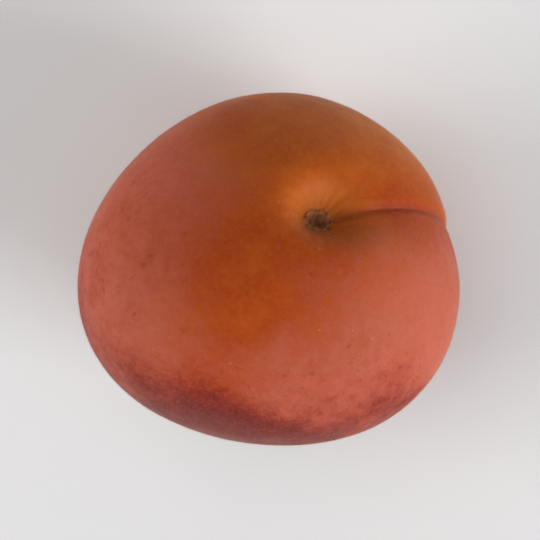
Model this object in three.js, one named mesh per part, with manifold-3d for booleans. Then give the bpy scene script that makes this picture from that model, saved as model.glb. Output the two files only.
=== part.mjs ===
// A ripe apricot as one closed solid, lying on the side of its tip.
// Millimetres. The resting surface is the plane Z = 0 and +Z is up. The stem end faces up and over towards
// +X and +Y, and the suture runs down the side of +X.
import * as THREE from "three";
import { mergeVertices } from "three/addons/utils/BufferGeometryUtils.js";
import Module from "manifold-3d";

// Size of the fruit
const LENGTH = 45.3; // from the stem end's shoulders to the apex
const BREADTH = 46.6; // across the two cheeks
const DEPTH = 49.6; // from the suture to the back

// How the girth runs along the fruit: it is fuller towards the shoulders and narrower towards the apex
const TAPER = 0.147; // share by which it grows per unit of cos(fall)
const BACK_TAPER = 0.071; // the same on the back, which is straighter
const END_ROUNDING = -0.131; // factor of the cube of cos(fall), which eases the taper at both ends

// How the section departs from an oval
const LOBES = 0.037; // share by which it swells into three soft lobes: a cheek on each side, and the back
const CHEEK_BIAS = 0.027; // share by which one cheek is fuller than the other

// The cavity that the stalk came away from
const CAVITY = { depth: 5.2, halfWidth: 3.5, steepness: 3.4, alongSuture: 0.82 };

// The apex: a shallow dimple round the dry point that the flower left
const APEX = { dimple: 0.6, dimpleWidth: 4.2, point: 0.5, pointWidth: 1.3 };

// The suture: a wide valley with a narrow crease along its floor
const VALLEY = { depth: 0.45, width: 5 };
const VALLEY_AT_SHOULDER = { deeper: 1.15, reach: 0.62 }; // how much deeper it gets near the stem end
const VALLEY_AT_APEX = { deeper: 0.3, reach: 0.5 };
const CREASE = { depth: 0.42, width: 0.9 };
const SUTURE_FADE = 3.4; // distance from the axis over which the suture fades out at both ends
const SUTURE_WANDER = 0.05; // radians that the line strays to either side
const LIP = { height: 0.22, width: 1.4, reach: 9 }; // one side of the suture stands a little higher

// Slow swellings of the flesh, each a wave of some height (mm) that travels along a direction
const SWELLINGS = [
  { height: 0.115, wave: new THREE.Vector3(2.3, 0.9, 1.1), phase: -1.61 },
  { height: 0.098, wave: new THREE.Vector3(-1.2, 2.6, 1.9), phase: 2.69 },
  { height: 0.119, wave: new THREE.Vector3(1.7, -2.2, 3.4), phase: 1.94 },
];

// How the fruit lies, starting from the stem end up and the suture towards +X
const SPIN = THREE.MathUtils.degToRad(-35); // turned about its own axis
const LEAN = THREE.MathUtils.degToRad(42); // leant over, the stem end towards +X
const HEADING = THREE.MathUtils.degToRad(46.5); // then turned about Z, the stem end towards +Y
const FLAT_SINK = 0.5; // how far the flesh has given under the fruit's own weight

// Facets of the skin, closer together at the suture, the cavity and the apex
const COLUMNS = 76;
const ROWS = 46;
const COLUMN_CROWDING = 0.68;
const ROW_CROWDING = 0.32;

// Girth at an angle from the stem end (fall), for a given taper, as a share of the girth halfway along
function plainGirth(fall, taper) {
  const along = Math.cos(fall);
  return Math.sin(fall) * (1 + taper * along + END_ROUNDING * along ** 3);
}

// The girth where the fruit is widest, so that BREADTH and DEPTH are true sizes
function widestGirth() {
  const steps = 2000;
  const girths = Array.from({ length: steps }, (_, i) => plainGirth((Math.PI * i) / steps, TAPER));
  return Math.max(...girths);
}

const FULL_GIRTH = widestGirth();

// Share of the full girth at an angle from the stem end (fall) and an angle round from the suture (turn)
function girthAt(fall, turn) {
  const backness = ((1 - Math.cos(turn)) / 2) ** 2;
  return plainGirth(fall, TAPER + (BACK_TAPER - TAPER) * backness) / FULL_GIRTH;
}

// Factor of the girth that makes the lobes, which die away towards both ends
function lobeAt(fall, turn) {
  return 1 - LOBES * Math.cos(3 * turn) * Math.sin(fall) ** 2;
}

// A bump that is 1 at 0 and dies away beyond the given width
function bump(distance, width) {
  return Math.exp(-((distance / width) ** 2));
}

// How deep the skin lies below the plain ovate body, in mm, where it has this fall, turn and direction
// from the centre
function sinkAt(fall, turn, direction) {
  const girth = girthAt(fall, turn);
  const stemHalf = fall < Math.PI / 2;
  const fromSuture = turn - SUTURE_WANDER * Math.sin(2 * fall);
  const acrossSuture = girth * BREADTH * Math.sin(fromSuture / 2);
  const besideSuture = (girth * BREADTH * Math.sin(fromSuture)) / 2;
  const fromAxis = (girth * BREADTH) / 2;

  const mouth = Math.hypot(fromAxis * Math.sin(turn), fromAxis * Math.cos(turn) * CAVITY.alongSuture);
  const cavity = stemHalf ? CAVITY.depth / (1 + (mouth / CAVITY.halfWidth) ** CAVITY.steepness) : 0;
  const apex = stemHalf
    ? 0
    : APEX.dimple * bump(fromAxis, APEX.dimpleWidth) - APEX.point * bump(fromAxis, APEX.pointWidth);

  const fade = 1 - bump(fromAxis, SUTURE_FADE);
  const valley =
    VALLEY.depth +
    VALLEY_AT_SHOULDER.deeper * bump(fall, VALLEY_AT_SHOULDER.reach) +
    VALLEY_AT_APEX.deeper * bump(Math.PI - fall, VALLEY_AT_APEX.reach);
  const crease = CREASE.depth * bump(acrossSuture, CREASE.width);
  const suture = fade * (valley * bump(acrossSuture, VALLEY.width) + crease);
  const lip = fade * LIP.height * Math.tanh(besideSuture / LIP.width) * bump(acrossSuture, LIP.reach);

  const swelling = SWELLINGS.reduce(
    (sum, { height, wave, phase }) => sum + height * Math.sin(wave.dot(direction) + phase),
    0,
  );
  return cavity + apex + suture - lip - swelling;
}

// The skin as a closed mesh about the fruit's centre: +Y is the stem end, +X is the suture,
// and Z runs across the cheeks
function skinGeometry() {
  const skin = new THREE.SphereGeometry(1, COLUMNS, ROWS);
  const { position, uv } = skin.attributes;
  const place = new THREE.Vector3();
  const direction = new THREE.Vector3();
  for (let i = 0; i < position.count; i++) {
    const across = 2 * Math.PI * (uv.getX(i) - 0.5);
    const down = 1 - uv.getY(i);
    const turn = across - COLUMN_CROWDING * Math.sin(across);
    const fall = Math.PI * down - ROW_CROWDING * Math.sin(2 * Math.PI * down);
    const girth = girthAt(fall, turn) * lobeAt(fall, turn);
    const bias = 1 + CHEEK_BIAS * Math.sin(turn);
    place.set(
      (DEPTH / 2) * girth * Math.cos(turn),
      (LENGTH / 2) * Math.cos(fall),
      (-BREADTH / 2) * girth * Math.sin(turn) * bias,
    );
    direction.copy(place).normalize();
    place.addScaledVector(direction, -sinkAt(fall, turn, direction));
    position.setXYZ(i, place.x, place.y, place.z);
  }
  skin.deleteAttribute("normal");
  skin.deleteAttribute("uv");
  return mergeVertices(skin);
}

// Turns the fruit from its own axes to the way it lies
function layDown(geometry) {
  const stemEndUp = new THREE.Matrix4().makeRotationX(Math.PI / 2);
  const spun = new THREE.Matrix4().makeRotationZ(SPIN);
  const leant = new THREE.Matrix4().makeRotationY(LEAN);
  const headed = new THREE.Matrix4().makeRotationZ(HEADING);
  return [stemEndUp, spun, leant, headed].reduce((body, turn) => body.applyMatrix4(turn), geometry);
}

function toSolid(wasm, geometry) {
  return new wasm.Manifold(
    new wasm.Mesh({
      numProp: 3,
      vertProperties: new Float32Array(geometry.attributes.position.array),
      triVerts: new Uint32Array(geometry.index.array),
    }),
  );
}

function toGeometry(solid) {
  const { vertProperties, triVerts } = solid.getMesh();
  const geometry = new THREE.BufferGeometry();
  geometry.setAttribute("position", new THREE.BufferAttribute(new Float32Array(vertProperties), 3));
  geometry.setIndex(new THREE.BufferAttribute(new Uint32Array(triVerts), 1));
  geometry.computeVertexNormals();
  return geometry;
}

// Takes a thin slice off the underside, which leaves the flat spot, and stands it on Z = 0 over the origin
function flattenUnderside(wasm, geometry) {
  geometry.computeBoundingBox();
  const floor = geometry.boundingBox.min.z + FLAT_SINK;
  const slab = mergeVertices(
    new THREE.BoxGeometry(2 * BREADTH, 2 * BREADTH, BREADTH)
      .deleteAttribute("normal")
      .deleteAttribute("uv")
      .translate(0, 0, floor - BREADTH / 2),
  );
  const cut = toGeometry(toSolid(wasm, geometry).subtract(toSolid(wasm, slab)));
  cut.computeBoundingBox();
  const { min, max } = cut.boundingBox;
  return cut.translate(-(min.x + max.x) / 2, -(min.y + max.y) / 2, -min.z);
}

const wasm = await Module();
wasm.setup();

const skinMaterial = new THREE.MeshStandardMaterial({ color: 0xd0682c, roughness: 0.55, metalness: 0 });
const fruit = new THREE.Mesh(flattenUnderside(wasm, layDown(skinGeometry())), skinMaterial);
fruit.name = "fruit";

const apricot = new THREE.Group();
apricot.add(fruit);

export default apricot;
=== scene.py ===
# %% [markdown]
# # A ripe apricot
#
# An apricot is one piece grown by a tree: a thin skin under a short down, with a suture down one side,
# a cavity where the stalk was and a dry point where the flower was.
#
# This script dresses the plain solid of the fruit. It makes a fine skin from the same formulas as the
# solid, colours it with shader nodes, and sets more than a hundred thousand short hairs on it. Then it
# adds a pale floor, soft lights and a camera that looks down on the fruit.
#
# Shapes are worked out in millimetres and put into Blender in metres.

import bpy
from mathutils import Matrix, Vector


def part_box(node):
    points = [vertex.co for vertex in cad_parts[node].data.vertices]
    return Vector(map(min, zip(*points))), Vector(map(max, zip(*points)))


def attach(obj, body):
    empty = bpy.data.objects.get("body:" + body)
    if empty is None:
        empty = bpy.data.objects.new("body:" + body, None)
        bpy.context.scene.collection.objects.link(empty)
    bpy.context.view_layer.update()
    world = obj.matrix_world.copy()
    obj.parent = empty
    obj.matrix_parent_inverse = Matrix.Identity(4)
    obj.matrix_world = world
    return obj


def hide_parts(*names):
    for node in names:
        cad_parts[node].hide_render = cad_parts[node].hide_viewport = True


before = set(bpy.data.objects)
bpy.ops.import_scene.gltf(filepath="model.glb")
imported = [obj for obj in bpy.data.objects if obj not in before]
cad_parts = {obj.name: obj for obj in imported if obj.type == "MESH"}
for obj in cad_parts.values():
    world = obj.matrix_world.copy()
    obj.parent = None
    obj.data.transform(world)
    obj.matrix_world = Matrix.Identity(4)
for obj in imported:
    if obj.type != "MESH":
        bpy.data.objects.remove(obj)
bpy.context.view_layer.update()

import math

import bpy
import numpy as np
from mathutils import Matrix, Vector

MM = 0.001  # one millimetre in Blender's metres
solid_low, solid_high = (np.array(corner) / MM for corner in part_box("fruit"))
FRUIT_MIDDLE = np.array([0, 0, (solid_high[2] - solid_low[2]) / 2])
print("the solid measures", np.round(solid_high - solid_low, 2), "mm")

# %% [markdown]
# ## The form of the fruit
#
# An apricot is an egg with the thick end at the stalk. It could be sculpted, or a sphere could be pushed
# about by hand, but a formula keeps every bulge in one place and repeats exactly. A point of the skin has
# two parameters. `fall` is the angle from the stalk's end, 0 there and pi at the tip. `turn` is the angle
# round the axis, 0 on the suture. In the fruit's own axes +Y is the stalk's end and +X is the suture.

# %% The plain egg, in millimetres
LENGTH = 45.3  # from the shoulders of the stalk's end to the tip
BREADTH = 46.6  # across the two cheeks
DEPTH = 49.6  # from the suture to the back

TAPER = 0.147  # share by which the girth grows towards the shoulders, per unit of cos(fall)
BACK_TAPER = 0.071  # the same on the back, which is straighter
END_ROUNDING = -0.131  # factor of the cube of cos(fall)
LOBES = 0.037  # share by which the section swells into three lobes: the two cheeks and the back
CHEEK_BIAS = 0.027  # share by which one cheek is fuller than the egg's, and the other flatter


def plain_girth(fall, taper):
    """sin(fall), which is a ball, times one plus the taper times cos(fall) and a little of its cube."""
    along = np.cos(fall)
    return np.sin(fall) * (1 + taper * along + END_ROUNDING * along**3)


FULL_GIRTH = plain_girth(np.linspace(0, np.pi, 2001), TAPER).max()
print("the plain girth is greatest at", round(float(FULL_GIRTH), 3), "times a ball's")


def girth_at(fall, turn):
    """The plain girth as a share of its greatest, with the taper easing from the suture to the back."""
    backness = ((1 - np.cos(turn)) / 2) ** 2
    return plain_girth(fall, TAPER + (BACK_TAPER - TAPER) * backness) / FULL_GIRTH


def lobe_at(fall, turn):
    """A factor of the girth: one less LOBES times cos(3 turn), which dies away to the ends as sin(fall)
    squared."""
    return 1 - LOBES * np.cos(3 * turn) * np.sin(fall) ** 2


# %% The cavity, the tip, the suture and the swellings, in millimetres
CAVITY = dict(depth=5.2, half_width=3.5, steepness=3.4, along_suture=0.82)
APEX = dict(dimple=0.6, dimple_width=4.2, point=0.5, point_width=1.3)
VALLEY = dict(depth=0.45, width=5.0)  # the broad hollow that the suture runs in
VALLEY_AT_SHOULDER = dict(deeper=1.15, reach=0.62)  # reach in radians of fall
VALLEY_AT_APEX = dict(deeper=0.3, reach=0.5)
CREASE = dict(depth=0.42, width=0.9)
LIP = dict(height=0.22, width=1.4, reach=9.0)  # one side of the suture stands a little higher
SUTURE_FADE = 3.4  # distance from the axis within which the suture dies away, at both ends
SUTURE_WANDER = 0.05  # radians that its line strays by
SWELLINGS = [  # height, wave and phase of each slow swelling of the flesh
    (0.115, (2.3, 0.9, 1.1), -1.61),
    (0.098, (-1.2, 2.6, 1.9), 2.69),
    (0.119, (1.7, -2.2, 3.4), 1.94),
]


# %% How far the skin lies below the plain egg
def bump(distance, width):
    """A bell that is 1 at 0 and dies away beyond the width: e to the minus (distance / width) squared."""
    return np.exp(-((distance / width) ** 2))


def measures(fall, turn):
    """Distances in mm that the marks of the fruit are worked out from: from the axis, across the suture
    (a chord, so it has one sign on each side), beside it, and from the middle of the cavity's mouth."""
    from_axis = girth_at(fall, turn) * BREADTH / 2
    from_suture = turn - SUTURE_WANDER * np.sin(2 * fall)
    return dict(
        from_axis=from_axis,
        across=2 * from_axis * np.sin(from_suture / 2),
        beside=from_axis * np.sin(from_suture),
        mouth=np.hypot(from_axis * np.sin(turn), from_axis * np.cos(turn) * CAVITY["along_suture"]),
        stem_half=fall < np.pi / 2,
    )


def sink_at(fall, turn, direction):
    """The sum of the cavity (a funnel, depth over one plus a power of the distance), the dimple and point
    of the apex, the suture's valley and crease, less its raised lip and the slow swellings."""
    spot = measures(fall, turn)
    funnel = CAVITY["depth"] / (1 + (spot["mouth"] / CAVITY["half_width"]) ** CAVITY["steepness"])
    dimple = APEX["dimple"] * bump(spot["from_axis"], APEX["dimple_width"])
    point = APEX["point"] * bump(spot["from_axis"], APEX["point_width"])
    ends = np.where(spot["stem_half"], funnel, dimple - point)

    fade = 1 - bump(spot["from_axis"], SUTURE_FADE)
    valley = (
        VALLEY["depth"]
        + VALLEY_AT_SHOULDER["deeper"] * bump(fall, VALLEY_AT_SHOULDER["reach"])
        + VALLEY_AT_APEX["deeper"] * bump(np.pi - fall, VALLEY_AT_APEX["reach"])
    )
    crease = CREASE["depth"] * bump(spot["across"], CREASE["width"])
    suture = fade * (valley * bump(spot["across"], VALLEY["width"]) + crease)
    sided = np.tanh(spot["beside"] / LIP["width"])
    lip = fade * LIP["height"] * sided * bump(spot["across"], LIP["reach"])
    swelling = sum(height * np.sin(direction @ np.array(wave) + phase) for height, wave, phase in SWELLINGS)
    return ends + suture - lip - swelling


# %% [markdown]
# ## Fine relief
#
# A real skin is never as smooth as a formula. Unevenness of several sizes is added to the mesh, so that
# light breaks up on it from any side: sums of plane waves in random directions, which is noise that needs
# no lookup table, and folds that run down the walls of the cavity. The pores are too fine for the mesh and
# are left to the material.

# %% Noise as a sum of waves
chance = np.random.default_rng(seed=41)
WAVE_LENGTHS = (0.7, 1.5)  # the shortest and the longest, as shares of the size


def waves(place, size, count=28):
    """The sum of plane waves, each a sine of the place along a random direction and about `size` mm long,
    scaled to a spread of about 1."""
    heading = chance.normal(size=(3, count))
    heading /= np.linalg.norm(heading, axis=0)
    lengths = size * chance.uniform(*WAVE_LENGTHS, count)
    phase = chance.uniform(0, 2 * np.pi, count)
    return np.sin(place @ (heading * 2 * np.pi / lengths) + phase).sum(axis=-1) / math.sqrt(count / 2)


# %% The relief in the cavity, outwards in millimetres
FOLDS = dict(count=17, height=0.07, from_middle=3.4, width=1.7, wobble=0.5, uneven=0.5)
SCAR_RADIUS = 1.7  # of the spot in the cavity that the stalk broke away from
SCAR = dict(ragged=0.12, rim=0.42, rim_width=0.34, crumbs=0.11, pit=0.55, pit_width=0.8)
CRUMBS_REACH = 1.2 * SCAR_RADIUS


def cavity_relief(place, turn, spot):
    """Folds down the walls, which are a sine of the turn, and a scar at the bottom with crumbs, a pit and
    a raised, ragged rim."""
    wobble = FOLDS["wobble"] * waves(place, size=6, count=12)
    uneven = 1 + FOLDS["uneven"] * waves(place, size=8, count=12)
    on_wall = bump(spot["mouth"] - FOLDS["from_middle"], FOLDS["width"])
    folds = FOLDS["height"] * on_wall * np.sin(FOLDS["count"] * turn + wobble) * uneven

    ragged = spot["mouth"] + SCAR["ragged"] * waves(place, size=1.5, count=16)
    rim = SCAR["rim"] * bump(ragged - SCAR_RADIUS, SCAR["rim_width"])
    crumbs = SCAR["crumbs"] * bump(spot["mouth"], CRUMBS_REACH) * waves(place, size=0.8)
    pit = SCAR["pit"] * bump(ragged, SCAR["pit_width"])
    return spot["stem_half"] * (folds + rim + crumbs - pit)


# %% All the relief, outwards in millimetres
LUMPS = [(0.015, 13), (0.006, 5), (0.003, 2)]  # height and size of the lumps, broad to fine
TIP = dict(height=0.1, roughness=0.06, width=0.8)
HAIRLINE = dict(depth=0.11, width=0.28, stray=0.16, uneven=0.35)


def relief_at(place, fall, turn):
    """Lumps of three sizes, the cavity's relief, a rough tip, and a hairline along the floor of the
    suture, which is a narrow bell across its line."""
    spot = measures(fall, turn)
    lumps = sum(height * waves(place, size) for height, size in LUMPS)
    cavity = cavity_relief(place, turn, spot)

    rough = TIP["height"] + TIP["roughness"] * waves(place, size=0.7)
    tip = ~spot["stem_half"] * bump(spot["from_axis"], TIP["width"]) * rough

    along = 1 - bump(spot["from_axis"], SUTURE_FADE)
    stray = HAIRLINE["stray"] * waves(place, size=7, count=12)
    uneven = 1 + HAIRLINE["uneven"] * waves(place, size=4, count=12)
    hairline = HAIRLINE["depth"] * along * bump(spot["across"] + stray, HAIRLINE["width"]) * uneven
    return lumps + cavity + tip - hairline


# %% [markdown]
# ## The skin as a mesh
#
# Rows of points run round the fruit and columns run from the stalk's end to the tip, as on a globe. The
# rows and columns crowd together at the suture, the cavity and the tip, where the form turns quickly. Each
# end of the globe is one shared point, so the mesh is closed. The underside is pressed flat where the fruit
# rests: heights below the floor are rounded off to it, with a soft edge.

# %% Grid of parameters
COLUMNS = 440
ROWS = 226
COLUMN_CROWDING = 0.68
ROW_CROWDING = 0.32

across = 2 * np.pi * (np.arange(COLUMNS) / COLUMNS - 0.5)
down = np.arange(ROWS + 1) / ROWS
fall, turn = np.meshgrid(
    np.pi * down - ROW_CROWDING * np.sin(2 * np.pi * down),
    across - COLUMN_CROWDING * np.sin(across),
    indexing="ij",
)
print("the skin's grid has", ROWS, "rows and", COLUMNS, "columns")

# %% The way the fruit lies, and the pressed underside
SPIN = math.radians(-35)  # turned about its own axis, from the suture towards +X
LEAN = math.radians(42)  # the stalk's end leant over from straight up towards +X
HEADING = math.radians(46.5)  # and turned from +X towards +Y
FLAT_SINK = 0.5  # mm that the flesh has given where the fruit rests
PRESS_EDGE = 0.12  # mm over which the skin curves into the flat spot


def turned(axis, angle):
    """The matrix of a turn about one of the axes."""
    return np.array(Matrix.Rotation(angle, 3, axis))


STALK_UP = turned("X", math.pi / 2)
LIE = turned("Z", HEADING) @ turned("Y", LEAN) @ turned("Z", SPIN) @ STALK_UP
print("the stalk's end points", np.round(LIE @ [0, 1, 0], 2))


def lay_down(place):
    """Turns points to the way the fruit lies and moves them so that the plain form fits the solid's box."""
    lying = place @ LIE.T
    low, high = lying.min(axis=(0, 1)), lying.max(axis=(0, 1))
    middle = (low + high) / 2
    return lying - [middle[0], middle[1], low[2] + FLAT_SINK]


def pressed(height):
    """Softplus, which is the edge times the log of 1 plus e to the height / edge: the height well above
    the floor, 0 well below it, and a smooth bend between the two."""
    return PRESS_EDGE * np.logaddexp(0, height / PRESS_EDGE)


# %% Work out the skin's points
def unit(vectors):
    """The same directions with a length of 1: each vector over its length."""
    return vectors / np.linalg.norm(vectors, axis=-1, keepdims=True)


girth = girth_at(fall, turn) * lobe_at(fall, turn)
bias = 1 + CHEEK_BIAS * np.sin(turn)
egg = np.stack(
    [
        DEPTH / 2 * girth * np.cos(turn),
        LENGTH / 2 * np.cos(fall),
        -BREADTH / 2 * girth * np.sin(turn) * bias,
    ],
    axis=-1,
)
direction = unit(egg)
sink = sink_at(fall, turn, direction)
form = egg - direction * sink[..., None]
relief = relief_at(form, fall, turn)
skin_place = lay_down(form) + (direction * relief[..., None]) @ LIE.T
skin_place[..., 2] = pressed(skin_place[..., 2])
skin_place[..., 2] -= skin_place[..., 2].min()
print("the skin sinks by up to", round(float(sink.max()), 2), "mm, in the cavity")
print("the relief runs from", round(float(relief.min()), 2), "to", round(float(relief.max()), 2), "mm")
print("the skin measures", np.round(np.ptp(skin_place, axis=(0, 1)), 2), "mm")


# %% Put a globe of points into a mesh
def globe_points(grid):
    """One point for each end row, which is all one place, and all the points of the rows between."""
    between = grid[1:-1].reshape(-1, *grid.shape[2:])
    return np.concatenate([grid[:1].mean(axis=1), between, grid[-1:].mean(axis=1)])


def globe_faces(rows, columns):
    """Triangles round each end point and four-sided faces between neighbouring rows."""
    here = np.arange(columns)
    beside = np.roll(here, -1)
    first = 1 + here
    last = 1 + (rows - 2) * columns
    start = 1 + columns * np.arange(rows - 2)[:, None]
    quads = np.stack([start + here, start + columns + here, start + columns + beside, start + beside], -1)
    top = np.stack([np.zeros(columns, int), first, 1 + beside], -1)
    bottom = np.stack([last + beside, last + here, np.full(columns, last + columns)], -1)
    return top, quads.reshape(-1, 4), bottom


def new_piece(name, points, faces, smooth=True):
    """Makes an object from points in mm and a list of arrays of faces."""
    mesh = bpy.data.meshes.new(name)
    mesh.from_pydata((points * MM).tolist(), [], [face for part in faces for face in part.tolist()])
    mesh.polygons.foreach_set("use_smooth", np.full(len(mesh.polygons), smooth))
    mesh.update()
    piece = bpy.data.objects.new(name, mesh)
    bpy.context.scene.collection.objects.link(piece)
    return piece


skin = new_piece("skin", globe_points(skin_place), globe_faces(ROWS, COLUMNS))
triangles = sum(len(polygon.vertices) - 2 for polygon in skin.data.polygons)
print("the skin has", triangles, "triangles")

# %% [markdown]
# ## Where the colours lie
#
# An apricot is crimson where the sun reached it and golden where it hung in the shade. The two flanks that
# face the key and fill lamps are peach-pale: partly the fruit's own paler colour, partly painted light. One
# share of the blush, on the right rim and under it, is partly painted shade that darkens that rim. These
# broad fields could be painted by hand, but here each is worked out from the way that the skin faces, on
# the same grid as the mesh, and stored on it as an attribute. Slow noise shifts their edges, so that no
# patch is round. The shader nodes then only add what is fine: mottling, streaks and specks.


# %% Soft patches
def eased(value, low, high):
    """0 below low, 1 above high, and an S-curve between: 3 times the square of the way from low to high,
    less 2 times its cube."""
    way = np.clip((value - low) / (high - low), 0, 1)
    return way * way * (3 - 2 * way)


def facing(towards):
    """The cosine between the direction of each point from the fruit's middle and a direction."""
    return unit(skin_place - FRUIT_MIDDLE) @ unit(np.array(towards))


def patches(kinds, stray):
    """One less the product of what each patch leaves bare, so that there is no crease where two meet."""
    bare = 1
    for share, towards, edge, full in kinds:
        bare = bare * (1 - share * eased(facing(towards) + stray, edge, full))
    return 1 - bare


# %% Patches: share, the way it faces, and the cosines at its edge and where it is full
BLUSH_AND_RIM_SHADE = [
    (1.0, (-0.3, -1.0, 0.0), 0.08, 0.95),
    (0.55, (0.5, -0.8, -0.65), 0.5, 1.05),
    # This share, on the right rim and under it, is partly blush and partly painted shade that darkens that
    # rim.
    (0.35, (0.95, -0.3, -0.5), 0.62, 1.05),
    (0.35, (-0.1, -0.85, 0.45), 0.7, 1.0),
    (0.2, (-1.0, 0.15, 0.35), 0.3, 1.0),
]
# The pale patches face the key lamp and the fill lamp: partly the fruit's paler flanks, partly painted light
# where those lamps fall.
PALE_AND_LIT = [
    (1.0, (0.85, -0.55, 0.25), 0.3, 1.0),
    (1.0, (-1.0, 0.1, 0.15), 0.1, 1.0),
]
GOLDEN = [
    (1.0, (0.3, 0.5, -0.8), 0.2, 0.95),
    (0.5, (0.5, 1.0, 0.2), 0.5, 1.0),
]
STRAYING = [(0.09, 24, 16), (0.03, 9, 24)]  # height, size in mm, and count of the waves

straying = sum(height * waves(form, size, count) for height, size, count in STRAYING)
print("the patches' edges stray by up to", round(np.abs(straying).max(), 2), "in the cosine")

# %% Marks: distances in millimetres where each is full and where it ends
CAVITY_REACH = (2.2, 6.5)
SCAR_REACH = (SCAR_RADIUS, 1.3 * SCAR_RADIUS)
TIP_REACH = (0.5, 1.2)
PIT_WIDTH = 0.6
CREASE_WIDTH = 0.75

spot = measures(fall, turn)
on_suture = 1 - bump(spot["from_axis"], SUTURE_FADE)
GRIDS = dict(
    blush=patches(BLUSH_AND_RIM_SHADE, straying),
    pale=patches(PALE_AND_LIT, -straying),
    golden=patches(GOLDEN, -straying),
    cavity=spot["stem_half"] * (1 - eased(spot["mouth"], *CAVITY_REACH)),
    scar=spot["stem_half"] * (1 - eased(spot["mouth"], *SCAR_REACH)),
    pit=spot["stem_half"] * bump(spot["mouth"], PIT_WIDTH),
    tip=~spot["stem_half"] * (1 - eased(spot["from_axis"], *TIP_REACH)),
    crease=bump(spot["across"], CREASE_WIDTH) * on_suture,
)
print("the fields are", ", ".join(GRIDS))

# %% Coordinates that run along the fruit, for streaks
STREAK_LENGTH = 0.45  # less than 1 draws a pattern out along the fruit

flow = np.stack(
    [
        BREADTH / 2 * np.cos(turn),
        BREADTH / 2 * np.sin(turn),
        LENGTH * STREAK_LENGTH * fall / np.pi,
    ],
    axis=-1,
)
print("from end to end the streaks run through", round(LENGTH * STREAK_LENGTH, 1), "mm of their pattern")


# %% Store the fields on the mesh
def store(piece, name, values):
    """Puts one number or vector for each point into an attribute of the piece."""
    kind = "FLOAT" if values.ndim == 1 else "FLOAT_VECTOR"
    attribute = piece.data.attributes.new(name, kind, "POINT")
    attribute.data.foreach_set("value" if values.ndim == 1 else "vector", values.astype(np.float32).ravel())


FIELDS = {name: globe_points(grid) for name, grid in GRIDS.items()}
for name, values in FIELDS.items():
    store(skin, name, values)
    print("field", name, "has a mean of", round(float(values.mean()), 3))
store(skin, "flow", globe_points(flow) * MM)


# %% [markdown]
# ## Building blocks for materials
#
# A material is a tree of nodes. A few helpers keep the trees short to write. Effects that are used again
# are node groups with named inputs and outputs.


# %% Helpers for node trees
def put(tree, kind, inputs=None, **settings):
    """Adds a node. Settings are set on it, and each input is given a value or linked to an output."""
    node = tree.nodes.new(kind)
    for name, value in settings.items():
        setattr(node, name, value)
    for key, value in (inputs or {}).items():
        if isinstance(value, bpy.types.NodeSocket):
            tree.links.new(value, node.inputs[key])
        else:
            node.inputs[key].default_value = value
    return node


def calculate(tree, operation, *values):
    """A Math node: the operation on one, two or three values or outputs."""
    return put(tree, "ShaderNodeMath", dict(enumerate(values)), operation=operation).outputs[0]


def ease(tree, value, span, to=(0.0, 1.0)):
    """An S-curve: where the value goes from one end of the span to the other, the result goes from one
    end of `to` to the other."""
    ends = {"From Min": span[0], "From Max": span[1], "To Min": to[0], "To Max": to[1]}
    node = put(tree, "ShaderNodeMapRange", {"Value": value, **ends}, interpolation_type="SMOOTHSTEP")
    return node.outputs["Result"]


def noise(tree, vector, size, detail, roughness=0.5):
    """Noise from 0 to 1 whose blotches are about `size` mm across."""
    values = {"Vector": vector, "Scale": 1 / (size * MM), "Detail": detail, "Roughness": roughness}
    return put(tree, "ShaderNodeTexNoise", values).outputs["Fac"]


def field(tree, name):
    """An attribute of the piece, as a value."""
    return put(tree, "ShaderNodeAttribute", attribute_name=name).outputs["Fac"]


# %% Helpers for colours and materials
MIX = dict(mask=0, under=6, over=7, colour=2)  # the Mix node numbers its sockets for colours so


def colour(red, green, blue):
    """A colour that covers fully."""
    return (red, green, blue, 1.0)


def lay_over(tree, under, over, mask, strength=1.0):
    """Lays one colour over another, as much as the mask says, times the strength."""
    if strength != 1.0:
        mask = calculate(tree, "MULTIPLY", mask, strength)
    inputs = {MIX["mask"]: mask, MIX["under"]: under, MIX["over"]: over}
    return put(tree, "ShaderNodeMix", inputs, data_type="RGBA").outputs[MIX["colour"]]


def new_material(name, finish):
    """A material with one Principled shader, and the values of its finish on that shader's own sockets."""
    material = bpy.data.materials.new(name)
    material.use_nodes = True
    shader = material.node_tree.nodes["Principled BSDF"]
    for socket, value in finish.items():
        shader.inputs[socket].default_value = value
    return material


def feed(material, outputs):
    """Links outputs of nodes to the named sockets of the material's shader."""
    shader = material.node_tree.nodes["Principled BSDF"]
    for socket, output in outputs.items():
        material.node_tree.links.new(output, shader.inputs[socket])


# %% A node group for specks
SPECK_INPUTS = {
    "Vector": "NodeSocketVector",
    "Cells per metre": "NodeSocketFloat",
    "Radius": "NodeSocketFloat",
    "Share": "NodeSocketFloat",
}
SMALLEST_SPECK = 0.4  # share of the radius, and the largest is one more than that


def specks_group():
    """Round specks: the distance to random points, one in each cell of a size, against a radius that
    differs from cell to cell. A share of the cells has none."""
    group = bpy.data.node_groups.new("Specks", "ShaderNodeTree")
    for name, kind in SPECK_INPUTS.items():
        group.interface.new_socket(name, in_out="INPUT", socket_type=kind)
    group.interface.new_socket("Mask", in_out="OUTPUT", socket_type="NodeSocketFloat")

    given = put(group, "NodeGroupInput").outputs
    grid = {"Vector": given["Vector"], "Scale": given["Cells per metre"]}
    cells = put(group, "ShaderNodeTexVoronoi", grid, feature="F1").outputs
    chances = put(group, "ShaderNodeSeparateColor", {"Color": cells["Color"]}).outputs
    uneven = calculate(group, "ADD", chances["Green"], SMALLEST_SPECK)
    radius = calculate(group, "MULTIPLY", given["Radius"], uneven)
    inside = ease(group, cells["Distance"], span=(radius, 0.0))
    present = calculate(group, "LESS_THAN", chances["Red"], given["Share"])
    put(group, "NodeGroupOutput", {"Mask": calculate(group, "MULTIPLY", inside, present)})
    return group


SPECKS = specks_group()
print("the group for specks has", len(SPECKS.nodes), "nodes")


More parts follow.
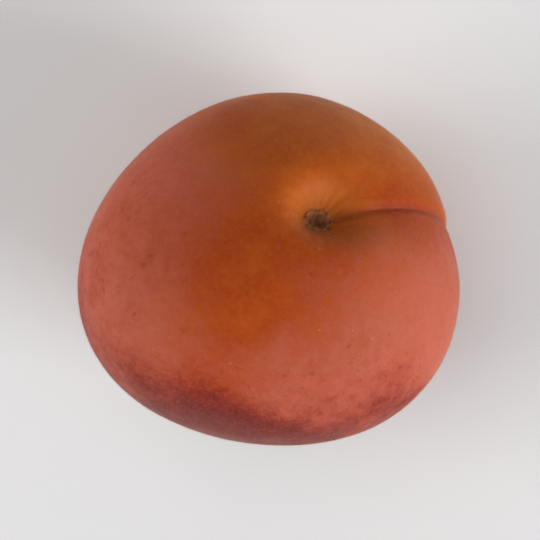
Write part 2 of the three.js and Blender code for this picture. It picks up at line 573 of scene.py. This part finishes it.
def specks(tree, vector, spacing, radius, share):
    """Specks about `spacing` mm apart. The radius is a share of the spacing."""
    values = {"Vector": vector, "Cells per metre": 1 / (spacing * MM), "Radius": radius, "Share": share}
    return put(tree, "ShaderNodeGroup", values, node_tree=SPECKS).outputs["Mask"]


# %% [markdown]
# ## The skin's material
#
# The ground colour is orange, golden where the fruit was shaded, and peach-pale on the two flanks that face
# the lamps, which is partly the fruit's own colour and partly painted light. The blush lies over it in
# layers, as it does on the tree: a thin red wash, then crimson dots and dust that thicken towards its
# middle, and full crimson there. A few dark freckles and pale pores come next, then the darker crease, the
# yellower cavity, the corky scar and the dry tip.
#
# One image of a skin would be quicker, but it would show its seams and its pixels. Layers of nodes hold at
# any distance. Flesh under a thin skin lets light in and out again, which Subsurface does. Down takes away
# most of the gloss, so the specular level is low, and a little Sheen is the glow of down too fine to model.

# %% Colours of the skin (linear light)
ORANGE = colour(0.38, 0.055, 0.004)
DEEP_ORANGE = colour(0.32, 0.039, 0.003)
GOLD = colour(0.57, 0.158, 0.015)
PEACH_AND_PAINTED_LIGHT = colour(0.455, 0.105, 0.068)
RED = colour(0.27, 0.018, 0.012)
CRIMSON = colour(0.115, 0.004, 0.007)
PORE = colour(0.60, 0.24, 0.075)
FRECKLE = colour(0.15, 0.008, 0.012)
CREASE_RED = colour(0.22, 0.022, 0.012)
CAVITY_GOLD = colour(0.48, 0.130, 0.014)
CORK = colour(0.36, 0.145, 0.052)
DRY = colour(0.14, 0.045, 0.018)


# %% Patterns that the layers share
def skin_patterns(tree, place):
    """Noise of several sizes in mm, and streaks that run along the fruit."""
    flowing = put(tree, "ShaderNodeAttribute", attribute_name="flow").outputs["Vector"]
    return dict(
        broad=noise(tree, place, size=14, detail=3),
        mottle=noise(tree, place, size=3.2, detail=4, roughness=0.6),
        small=noise(tree, place, size=1.6, detail=4, roughness=0.6),
        fine=noise(tree, place, size=0.6, detail=3, roughness=0.6),
        streaks=noise(tree, flowing, size=1.5, detail=3),
    )


def cloudiness(tree, pattern):
    """How far clouds, blotches and crumbs push the edges of the blush and of the pale flanks, which are
    partly painted light.
    """
    clouds = ease(tree, pattern["broad"], span=(0.3, 0.7), to=(-0.05, 0.05))
    blotches = ease(tree, pattern["mottle"], span=(0.25, 0.75), to=(-0.1, 0.1))
    crumbs = ease(tree, pattern["small"], span=(0.3, 0.7), to=(-0.05, 0.05))
    return calculate(tree, "ADD", calculate(tree, "ADD", blotches, clouds), crumbs)


# %% The ground
def ground_colour(tree, pattern, cloudy):
    """Two oranges in clouds, gold, small darker blotches, and peach on the flanks that face the lamps,
    partly painted light.
    """
    ground = lay_over(tree, DEEP_ORANGE, ORANGE, ease(tree, pattern["broad"], span=(0.3, 0.7)))
    uneven = ease(tree, pattern["broad"], span=(0.3, 0.7), to=(-0.15, 0.1))
    ground = lay_over(tree, ground, GOLD, calculate(tree, "ADD", field(tree, "golden"), uneven))
    ground = lay_over(tree, ground, GOLD, ease(tree, pattern["mottle"], span=(0.4, 0.7), to=(0, 0.15)))
    blotches = ease(tree, pattern["small"], span=(0.6, 0.35), to=(0, 0.27))
    ground = lay_over(tree, ground, DEEP_ORANGE, blotches)
    # Peach on the flanks that face the lamps: partly the fruit's paler colour, partly painted light.
    pale_and_lit = calculate(tree, "SUBTRACT", field(tree, "pale"), cloudy)
    return lay_over(tree, ground, PEACH_AND_PAINTED_LIGHT, ease(tree, pale_and_lit, span=(0, 1.1), to=(0, 0.9)))


# %% The blush
def blushed(tree, ground, place, redness):
    """A wash of red, crimson dots and dust that thicken with the redness, and full crimson."""
    ground = lay_over(tree, ground, RED, ease(tree, redness, span=(-0.05, 0.9), to=(0, 0.8)))
    dots = specks(tree, place, spacing=1.1, radius=0.5, share=ease(tree, redness, span=(0.05, 0.6)))
    dust = specks(tree, place, spacing=0.45, radius=0.55, share=ease(tree, redness, span=(0, 0.7)))
    ground = lay_over(tree, ground, CRIMSON, dots, strength=0.3)
    ground = lay_over(tree, ground, CRIMSON, dust, strength=0.25)
    return lay_over(tree, ground, CRIMSON, ease(tree, redness, span=(0.35, 1.15), to=(0, 0.95)))


# %% Freckles and pores
def speckled(tree, ground, place, redness, fine):
    """Freckles, more of them where it is red, then pores all over and a fine pale grain."""
    frequent = ease(tree, redness, span=(0, 0.5), to=(0.05, 0.7))
    freckles = specks(tree, place, spacing=1.3, radius=0.2, share=frequent)
    pores = specks(tree, place, spacing=1.4, radius=0.14, share=0.75)
    ground = lay_over(tree, ground, FRECKLE, freckles, strength=0.5)
    ground = lay_over(tree, ground, PORE, pores, strength=0.42)
    return lay_over(tree, ground, PORE, ease(tree, fine, span=(0.35, 0.75), to=(0, 0.08)))


# %% The cavity, the crease, the scar and the tip
def marked(tree, ground, place):
    """A golden cavity, a dark crease, and cork on the scar and the tip, darker in the scar's pit."""
    ground = lay_over(tree, ground, CAVITY_GOLD, field(tree, "cavity"), strength=0.6)
    ground = lay_over(tree, ground, CREASE_RED, field(tree, "crease"), strength=0.45)
    rough = noise(tree, place, size=0.8, detail=3, roughness=0.6)
    cork = lay_over(tree, DRY, CORK, ease(tree, rough, span=(0.25, 0.75)))
    cork = lay_over(tree, cork, DRY, field(tree, "pit"), strength=0.8)
    ground = lay_over(tree, ground, cork, field(tree, "scar"))
    return lay_over(tree, ground, cork, field(tree, "tip"))


# %% All the colours, from the ground up
def skin_colour(tree, place):
    """Clouds and streaks shift how red each place is, and the layers follow that."""
    pattern = skin_patterns(tree, place)
    cloudy = cloudiness(tree, pattern)
    streaky = ease(tree, pattern["streaks"], span=(0.25, 0.75), to=(-0.06, 0.06))
    redness = calculate(tree, "ADD", field(tree, "blush"), calculate(tree, "ADD", cloudy, streaky))

    ground = ground_colour(tree, pattern, cloudy)
    ground = blushed(tree, ground, place, redness)
    ground = speckled(tree, ground, place, redness, pattern["fine"])
    return marked(tree, ground, place)


# %% The fine surface
FINE_DEPTH = 0.03 * MM
FINE_SHARES = dict(ripple=0.9, grain=0.5, pits=0.35)  # of that depth
FINE_STRENGTH = 0.55
CORK_ROUGHER = 0.35  # how much rougher cork is than the skin


def skin_normal(tree, place):
    """Ripples and a grain of about a fifth of a millimetre, less shallow pits, as a Bump node's height."""
    ripple = noise(tree, place, size=0.9, detail=3, roughness=0.55)
    grain = noise(tree, place, size=0.22, detail=2, roughness=0.6)
    pits = specks(tree, place, spacing=1.5, radius=0.16, share=0.75)
    height = calculate(tree, "MULTIPLY", grain, FINE_SHARES["grain"])
    height = calculate(tree, "MULTIPLY_ADD", ripple, FINE_SHARES["ripple"], height)
    height = calculate(tree, "SUBTRACT", height, calculate(tree, "MULTIPLY", pits, FINE_SHARES["pits"]))
    values = {"Height": height, "Strength": FINE_STRENGTH, "Distance": FINE_DEPTH}
    return put(tree, "ShaderNodeBump", values).outputs["Normal"]


def skin_roughness(tree, place):
    """Satin in slow clouds, and duller on the corky scar and tip."""
    satin = ease(tree, noise(tree, place, size=5, detail=3), span=(0.3, 0.7), to=(0.42, 0.52))
    corky = calculate(tree, "MAXIMUM", field(tree, "scar"), field(tree, "tip"))
    return calculate(tree, "MULTIPLY_ADD", corky, CORK_ROUGHER, satin)


# %% The skin's shader
SKIN_FINISH = {
    "Subsurface Weight": 0.35,
    "Subsurface Radius": (1.0, 0.32, 0.12),  # red light goes the furthest in the flesh
    "Subsurface Scale": 3.0 * MM,
    "Specular IOR Level": 0.06,
    "Sheen Weight": 0.03,
    "Sheen Roughness": 0.42,
    "Sheen Tint": colour(1.0, 0.82, 0.74),
}


def skin_material():
    """The finish of the skin, with its colour, roughness and fine surface from nodes."""
    material = new_material("apricot_skin", SKIN_FINISH)
    tree = material.node_tree
    place = put(tree, "ShaderNodeTexCoord").outputs["Object"]
    outputs = {
        "Base Color": skin_colour(tree, place),
        "Roughness": skin_roughness(tree, place),
        "Normal": skin_normal(tree, place),
    }
    feed(material, outputs)
    return material


skin.data.materials.append(skin_material())
print("the skin's material has", len(skin.data.materials[0].node_tree.nodes), "nodes")

# %% The skin stands for the solid
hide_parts("fruit")
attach(skin, "root")

# %% [markdown]
# ## The down
#
# An apricot's down is short and pale. Blender's particle hair would be quick, but it isn't a mesh, so each
# hair here is a thin closed spike with three sides. The roots are drawn by area over the skin, with a fixed
# seed. Hairs lean a little towards the tip and each its own way, and they are longer in the cavity and along
# the suture, where nothing rubs them off.
#
# There are three layers, from short to long, each a piece of its own with one plain tint. The longest is
# the sparsest, and the longer the hair, the paler it is. A pattern along a hair would be finer than anyone
# can see, and every hair would have to be unwrapped before it could be baked into a picture.

# %% Points and normals to plant hairs on
skin.data.update()
skin_points = np.empty(len(skin.data.vertices) * 3, np.float32)
skin.data.vertices.foreach_get("co", skin_points)
skin_points = skin_points.reshape(-1, 3).astype(float) / MM
skin_normals = np.empty(len(skin.data.vertices) * 3, np.float32)
skin.data.vertex_normals.foreach_get("vector", skin_normals)
skin_normals = skin_normals.reshape(-1, 3).astype(float)

quads = globe_faces(ROWS, COLUMNS)[1]
corners = skin_points[quads]
diagonals = corners[:, 2] - corners[:, 0], corners[:, 3] - corners[:, 1]
quad_areas = np.linalg.norm(np.cross(*diagonals), axis=1) / 2
print("the skin's area is", round(float(quad_areas.sum()) / 100, 1), "square centimetres")

# %% How the hairs grow
MORE_IN_CAVITY = 1.5  # share by which they stand closer together there
TOWARDS_TIP = 0.45  # how far they lean that way, against 1 straight out of the skin
ASTRAY = 0.38  # how far each leans its own way
LEAST_RISE = 0.35  # a flatter hair is lifted off the skin by what it lacks of this
SHORTEST, LONGEST = 0.55, 1.35  # shares of the layer's length
SHELTER_IN_CREASE = 0.4  # against 1 in the cavity
LONGER_IN_SHELTER = 0.6  # share
ROOT_DEPTH = 0.03  # mm
ABOVE_FLOOR = 0.01  # mm, the lowest that any point of a hair lies

tip_direction = LIE @ np.array([0, -1, 0])
print("hairs lean towards", np.round(tip_direction, 2))


# %% Roots
def plant(chance, count):
    """Draws faces by area, with none on the scar or the tip, and a random mix of the four corners of each.
    Gives the roots, the skin's normals there, and how sheltered each root is."""
    bare = np.maximum(FIELDS["scar"], FIELDS["tip"])[quads[:, 0]]
    weight = quad_areas * (1 + MORE_IN_CAVITY * FIELDS["cavity"][quads[:, 0]]) * (1 - bare)
    chosen = quads[chance.choice(len(quads), count, p=weight / weight.sum())]
    along, aside = chance.uniform(size=(2, count, 1))
    shares = np.stack(
        [(1 - along) * (1 - aside), along * (1 - aside), along * aside, (1 - along) * aside],
        axis=1,
    )
    root = (skin_points[chosen] * shares).sum(axis=1)
    normal = unit((skin_normals[chosen] * shares).sum(axis=1))
    shelter = FIELDS["cavity"][chosen[:, 0]] + SHELTER_IN_CREASE * FIELDS["crease"][chosen[:, 0]]
    return root, normal, shelter


# %% Hairs as closed spikes
def hairs(name, count, length, radius, seed):
    """A hair's end is its root plus its length along the way that it leans. Three points a third of a turn
    apart round the root, a little under the skin, close the spike."""
    chance = np.random.default_rng(seed)
    root, normal, shelter = plant(chance, count)
    lean = unit(normal + TOWARDS_TIP * tip_direction + ASTRAY * chance.normal(size=(count, 3)))
    rise = (lean * normal).sum(axis=1, keepdims=True)
    lean = unit(lean + normal * np.maximum(LEAST_RISE - rise, 0))
    lengths = length * chance.uniform(SHORTEST, LONGEST, count) * (1 + LONGER_IN_SHELTER * shelter)
    end = root + lean * lengths[:, None]

    side = unit(np.cross(lean, chance.normal(size=(count, 3))))
    other = np.cross(lean, side)
    angles = 2 * np.pi * np.arange(3) / 3
    ring = side[:, None] * np.cos(angles)[:, None] + other[:, None] * np.sin(angles)[:, None]
    feet = (root - ROOT_DEPTH * normal)[:, None] + radius * ring
    points = np.concatenate([feet, end[:, None]], axis=1)
    points[..., 2] = np.maximum(points[..., 2], ABOVE_FLOOR)

    spike = np.array([[0, 1, 3], [1, 2, 3], [2, 0, 3], [2, 1, 0]])
    faces = (4 * np.arange(count)[:, None, None] + spike).reshape(-1, 3)
    return new_piece(name, points.reshape(-1, 3), [faces])


# %% The three layers of down
DOWN_ROUGHNESS = 0.6
DOWN = [  # name, count, length in mm, radius in mm, seed and tint
    ("down_short", 49000, 0.15, 0.0060, 5, colour(0.42, 0.12, 0.05)),
    ("down_middle", 49000, 0.22, 0.0055, 6, colour(0.48, 0.18, 0.09)),
    ("down_long", 40000, 0.30, 0.0050, 7, colour(0.55, 0.27, 0.16)),
]
for name, count, length, radius, seed, tint in DOWN:
    piece = hairs(name, count, length, radius, seed)
    piece.data.materials.append(new_material(name, {"Base Color": tint, "Roughness": DOWN_ROUGHNESS}))
    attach(piece, "root")
    print(name, "has", count, "hairs")

# %% [markdown]
# ## The set: floor, lights and camera
#
# The fruit lies on a plain pale floor. A large, slightly cool light stands to the right and a little in
# front, low enough to model the cheek. A weaker, warmer one on the left lifts the far side, and a broad one
# overhead softens the shadow round the foot. One hard light would be simpler, but it would hide the slow
# changes of colour in glare and deep shade.

# %% Floor
FLOOR_SIDE = 16.0  # metres
FLOOR_FINISH = {"Roughness": 0.75, "Specular IOR Level": 0.2}
FLOOR_TONES = colour(0.76, 0.76, 0.76), colour(0.80, 0.80, 0.795)


def floor_material():
    """A pale matt sheet with the faintest unevenness of tone."""
    material = new_material("pale_floor", FLOOR_FINISH)
    tree = material.node_tree
    place = put(tree, "ShaderNodeTexCoord").outputs["Object"]
    feed(material, {"Base Color": lay_over(tree, *FLOOR_TONES, noise(tree, place, size=30, detail=3))})
    return material


square = np.array([[-1, -1, 0], [1, -1, 0], [1, 1, 0], [-1, 1, 0]])
floor = new_piece("floor", square * FLOOR_SIDE / 2 / MM, [np.array([[0, 1, 2, 3]])], smooth=False)
floor.data.materials.append(floor_material())
print("the floor is", FLOOR_SIDE, "m square")

# %% Lights
LIGHTS = [  # name, place and side in metres, power in watts, and tint
    ("key", (2.9, -1.5, 1.2), 1.8, 126.0, (0.95, 0.97, 1.0)),
    ("fill", (-2.9, -0.3, 1.1), 2.1, 68.0, (1.0, 0.97, 0.94)),
    ("overhead", (-0.5, 0.5, 3.9), 3.0, 24.0, (1.0, 1.0, 1.0)),
]
aim = Vector(FRUIT_MIDDLE * MM)


def soft_light(name, place, side, power, tint):
    """A square area light, turned towards the middle of the fruit."""
    data = bpy.data.lights.new(name, "AREA")
    data.shape = "SQUARE"
    data.size = side
    data.energy = power
    data.color = tint
    light = bpy.data.objects.new(name, data)
    bpy.context.scene.collection.objects.link(light)
    light.location = place
    light.rotation_euler = (aim - Vector(place)).to_track_quat("-Z", "Y").to_euler()


for name, place, side, power, tint in LIGHTS:
    soft_light(name, place, side, power, tint)
    print("the light", name, "shines with", power, "W")

# %% The room's own light, which looks brighter than it shines
ROOM_TINT = colour(0.95, 0.95, 0.96)
ROOM_LIGHT = 0.34
ROOM_LOOK = 0.7  # what the camera sees of the room beyond the floor

world = bpy.data.worlds.new("studio")
bpy.context.scene.world = world
world.use_nodes = True
seen = put(world.node_tree, "ShaderNodeLightPath").outputs["Is Camera Ray"]
strength = calculate(world.node_tree, "MULTIPLY_ADD", seen, ROOM_LOOK - ROOM_LIGHT, ROOM_LIGHT)
background = world.node_tree.nodes["Background"]
background.inputs["Color"].default_value = ROOM_TINT
world.node_tree.links.new(strength, background.inputs["Strength"])
print("the room shines at", ROOM_LIGHT, "and looks like", ROOM_LOOK)

# %% Camera
CAMERA_FROM_MIDDLE = Vector((49.3, 27, 351)) * MM
FRAME_WIDTH = 70 * MM  # how much shows across the picture, at the fruit's middle
SENSOR_WIDTH = 36  # in mm, as the lens is

camera_data = bpy.data.cameras.new("camera")
camera_data.sensor_width = SENSOR_WIDTH
camera_data.lens = SENSOR_WIDTH * CAMERA_FROM_MIDDLE.length / FRAME_WIDTH
camera = bpy.data.objects.new("camera", camera_data)
bpy.context.scene.collection.objects.link(camera)

backwards = CAMERA_FROM_MIDDLE.normalized()
upwards = (Vector((0, 1, 0)) - backwards * backwards.y).normalized()
rightwards = upwards.cross(backwards)
camera.matrix_world = Matrix.LocRotScale(
    aim + CAMERA_FROM_MIDDLE,
    Matrix((rightwards, upwards, backwards)).transposed().to_quaternion(),
    None,
)
bpy.context.scene.camera = camera
bpy.context.scene.view_settings.view_transform = "Standard"
print("the camera stands", round(CAMERA_FROM_MIDDLE.length / MM), "mm from the fruit's middle")
